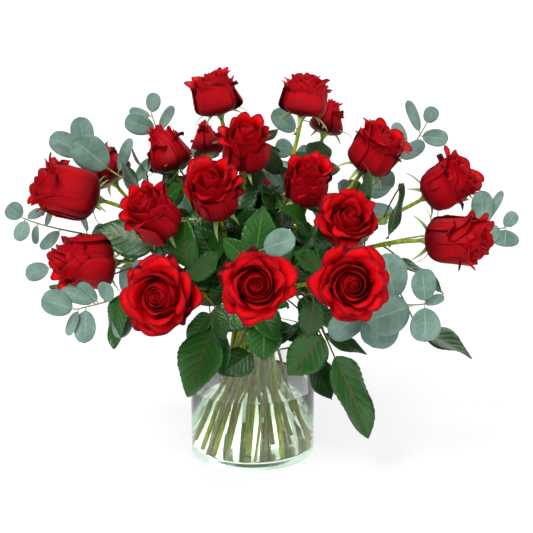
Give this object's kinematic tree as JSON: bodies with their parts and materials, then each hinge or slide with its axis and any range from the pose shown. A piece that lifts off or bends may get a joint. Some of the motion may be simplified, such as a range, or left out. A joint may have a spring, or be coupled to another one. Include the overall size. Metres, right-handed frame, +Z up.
{
  "type": "roses in a vase",
  "caption": "Hand-tied spiral bouquet of open red roses with rose leaves and round-leaved eucalyptus, standing in water in a clear cylindrical glass vase.",
  "frame": {"origin": "centre of the vase's flat foot, on the surface it stands on", "axes": "+Z up; +X to the right as seen from the bouquet's front, along its widest spread; the front faces -Y"},
  "size_m": [0.6035, 0.4646, 0.459],
  "materials": {
    "glass": "clear, slightly green glass, polished, with rounded foot and rim",
    "water": "clear water",
    "petal": "velvety deep red petals, darker crimson on the outer ones",
    "calyx": "soft light green sepals with brown tips",
    "rose_green": "satin dark green leaves with lighter veins; yellow-green stems with brown-red marks and thorns",
    "eucalyptus": "matt waxy blue-green leaves with a pale midrib on pale thin branches"
  },
  "bodies": {
    "root": {"vase": "glass", "water": "water", "rose_bloom_01": "petal", "rose_bloom_02": "petal", "rose_bloom_03": "petal", "rose_bloom_04": "petal", "rose_bloom_05": "petal", "rose_bloom_06": "petal", "rose_bloom_07": "petal", "rose_bloom_08": "petal", "rose_bloom_09": "petal", "rose_bloom_10": "petal", "rose_bloom_11": "petal", "rose_bloom_12": "petal", "rose_bloom_13": "petal", "rose_bloom_14": "petal", "rose_bloom_15": "petal", "rose_bloom_16": "petal", "rose_bloom_17": "petal", "rose_bloom_18": "petal", "rose_bloom_19": "petal", "rose_bloom_20": "petal", "rose_stem_01": "rose_green", "rose_stem_02": "rose_green", "rose_stem_03": "rose_green", "rose_stem_04": "rose_green", "rose_stem_05": "rose_green", "rose_stem_06": "rose_green", "rose_stem_07": "rose_green", "rose_stem_08": "rose_green", "rose_stem_09": "rose_green", "rose_stem_10": "rose_green", "rose_stem_11": "rose_green", "rose_stem_12": "rose_green", "rose_stem_13": "rose_green", "rose_stem_14": "rose_green", "rose_stem_15": "rose_green", "rose_stem_16": "rose_green", "rose_stem_17": "rose_green", "rose_stem_18": "rose_green", "rose_stem_19": "rose_green", "rose_stem_20": "rose_green", "eucalyptus_01": "eucalyptus", "eucalyptus_02": "eucalyptus", "eucalyptus_03": "eucalyptus", "eucalyptus_04": "eucalyptus", "eucalyptus_05": "eucalyptus", "eucalyptus_06": "eucalyptus", "eucalyptus_07": "eucalyptus", "eucalyptus_08": "eucalyptus", "eucalyptus_09": "eucalyptus", "eucalyptus_10": "eucalyptus", "eucalyptus_11": "eucalyptus", "eucalyptus_12": "eucalyptus"}
  },
  "joints": []
}
